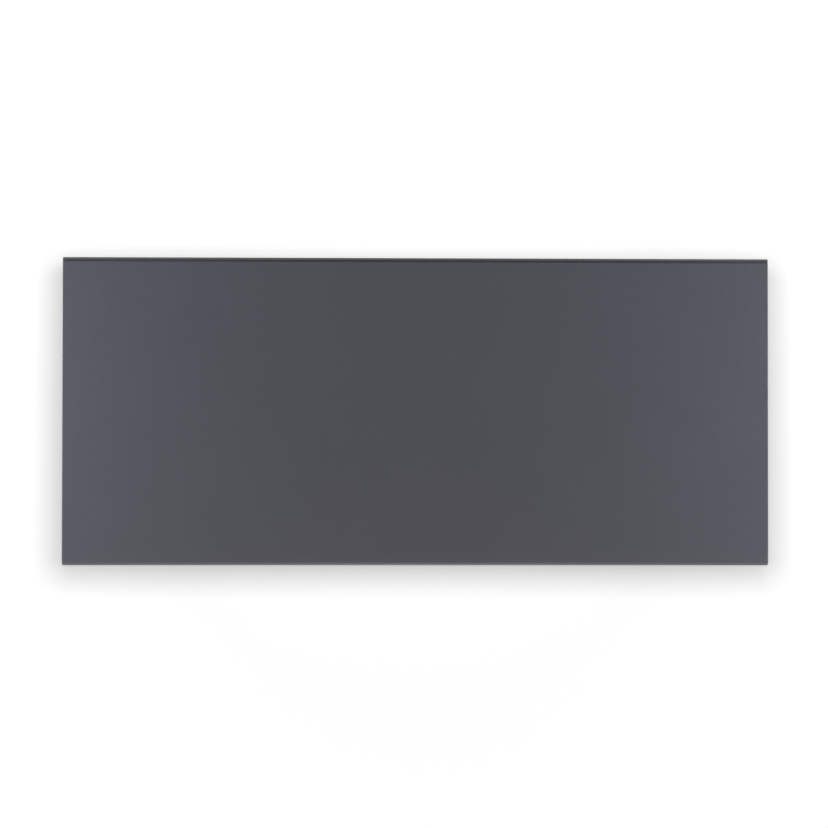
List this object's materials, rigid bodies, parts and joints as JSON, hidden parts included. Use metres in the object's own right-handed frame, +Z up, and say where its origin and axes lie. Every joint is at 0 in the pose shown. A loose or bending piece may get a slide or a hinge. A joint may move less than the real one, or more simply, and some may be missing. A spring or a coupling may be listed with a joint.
{
  "type": "electric panel heater",
  "caption": "Wall-hung electric panel heater: flat folded steel front, finned elements, outlet grille and controls on top, hook-on wall bracket.",
  "frame": {"origin": "middle of the four wall screws, in the plane of the wall", "axes": "+X right seen from the front, along the heater; +Y into the wall; +Z up"},
  "size_m": [0.85, 0.092, 0.37],
  "materials": {
    "powder_coat": "matte fine-texture anthracite powder coat",
    "moulded_cover": "spark-eroded anthracite ABS",
    "gloss_fascia": "glossy black",
    "smoked_window": "smoked acrylic",
    "black_plastic": "moulded nylon",
    "pale_plastic": "moulded ivory nylon",
    "light_pipe": "clear acrylic",
    "galvanised": "zinc-coated sheet steel",
    "aluminium": "mill finish",
    "ceramic": "unglazed steatite",
    "rubber": "black rubber",
    "circuit_board": "green solder mask",
    "relay_blue": "moulded",
    "brass": "turned",
    "winding": "taped winding",
    "lead_brown": "insulation",
    "lead_blue": "insulation",
    "lead_green": "insulation",
    "lead_pale": "silicone insulation"
  },
  "bodies": {
    "wall_bracket": {"bracket_upright_left": "galvanised", "bracket_upright_right": "galvanised", "bracket_rail_top": "galvanised", "bracket_rail_bottom": "galvanised", "bracket_rivets": "aluminium"},
    "heater": {"front_panel": "powder_coat", "front_stiffeners": "galvanised", "rear_panel": "powder_coat", "top_cover": "moulded_cover", "outlet_grille": "moulded_cover", "bottom_grille": "galvanised", "partition_plate": "galvanised", "partition_grommet": "rubber", "wall_spacers": "rubber", "control_fascia": "gloss_fascia", "fascia_gasket": "rubber", "display_window": "smoked_window", "display_module": "black_plastic", "display_board": "circuit_board", "tact_switches": "black_plastic", "status_light_pipes": "light_pipe", "radio_module": "galvanised", "element_fins": "aluminium", "element_rods": "galvanised", "ceramic_bushes": "ceramic", "element_bracket_left": "galvanised", "element_bracket_right": "galvanised", "front_heat_shield": "aluminium", "rear_heat_shield": "aluminium", "overheat_cutout": "black_plastic", "thermal_fuse": "ceramic", "room_sensor": "black_plastic", "mains_switch_housing": "black_plastic", "cord_inlet": "black_plastic", "inlet_nut": "black_plastic", "board_carrier": "pale_plastic", "power_board": "circuit_board", "relays": "relay_blue", "transformer": "winding", "capacitors": "black_plastic", "fuse": "brass", "terminal_block": "pale_plastic", "earth_terminal": "brass", "live_lead": "lead_brown", "neutral_lead": "lead_blue", "earth_lead": "lead_green", "element_leads": "lead_pale", "display_ribbon": "lead_pale", "casing_screws": "galvanised", "inner_screws": "galvanised"},
    "power_button": {"button_power": "moulded_cover", "plunger_power": "pale_plastic"},
    "minus_button": {"button_minus": "moulded_cover", "plunger_minus": "pale_plastic"},
    "plus_button": {"button_plus": "moulded_cover", "plunger_plus": "pale_plastic"},
    "mode_button": {"button_mode": "moulded_cover", "plunger_mode": "pale_plastic"},
    "rocker": {"mains_rocker": "black_plastic"}
  },
  "joints": [
    {"name": "lift_off", "type": "slide", "parent": "wall_bracket", "child": "heater", "axis": [0, 0, 1], "range_m": [0, 0.012]},
    {"name": "press_power", "type": "slide", "parent": "heater", "child": "power_button", "axis": [0, 0, -1], "range_m": [0, 0.0006], "stiffness_N_per_m": 1200, "springref_m": -0.0002},
    {"name": "press_minus", "type": "slide", "parent": "heater", "child": "minus_button", "axis": [0, 0, -1], "range_m": [0, 0.0006], "stiffness_N_per_m": 1200, "springref_m": -0.0002},
    {"name": "press_plus", "type": "slide", "parent": "heater", "child": "plus_button", "axis": [0, 0, -1], "range_m": [0, 0.0006], "stiffness_N_per_m": 1200, "springref_m": -0.0002},
    {"name": "press_mode", "type": "slide", "parent": "heater", "child": "mode_button", "axis": [0, 0, -1], "range_m": [0, 0.0006], "stiffness_N_per_m": 1200, "springref_m": -0.0002},
    {"name": "rock_mains", "type": "hinge", "parent": "heater", "child": "rocker", "pos_m": [0.4155, -0.056, -0.095], "axis": [0, -1, 0], "range_deg": [0, 24]}
  ]
}
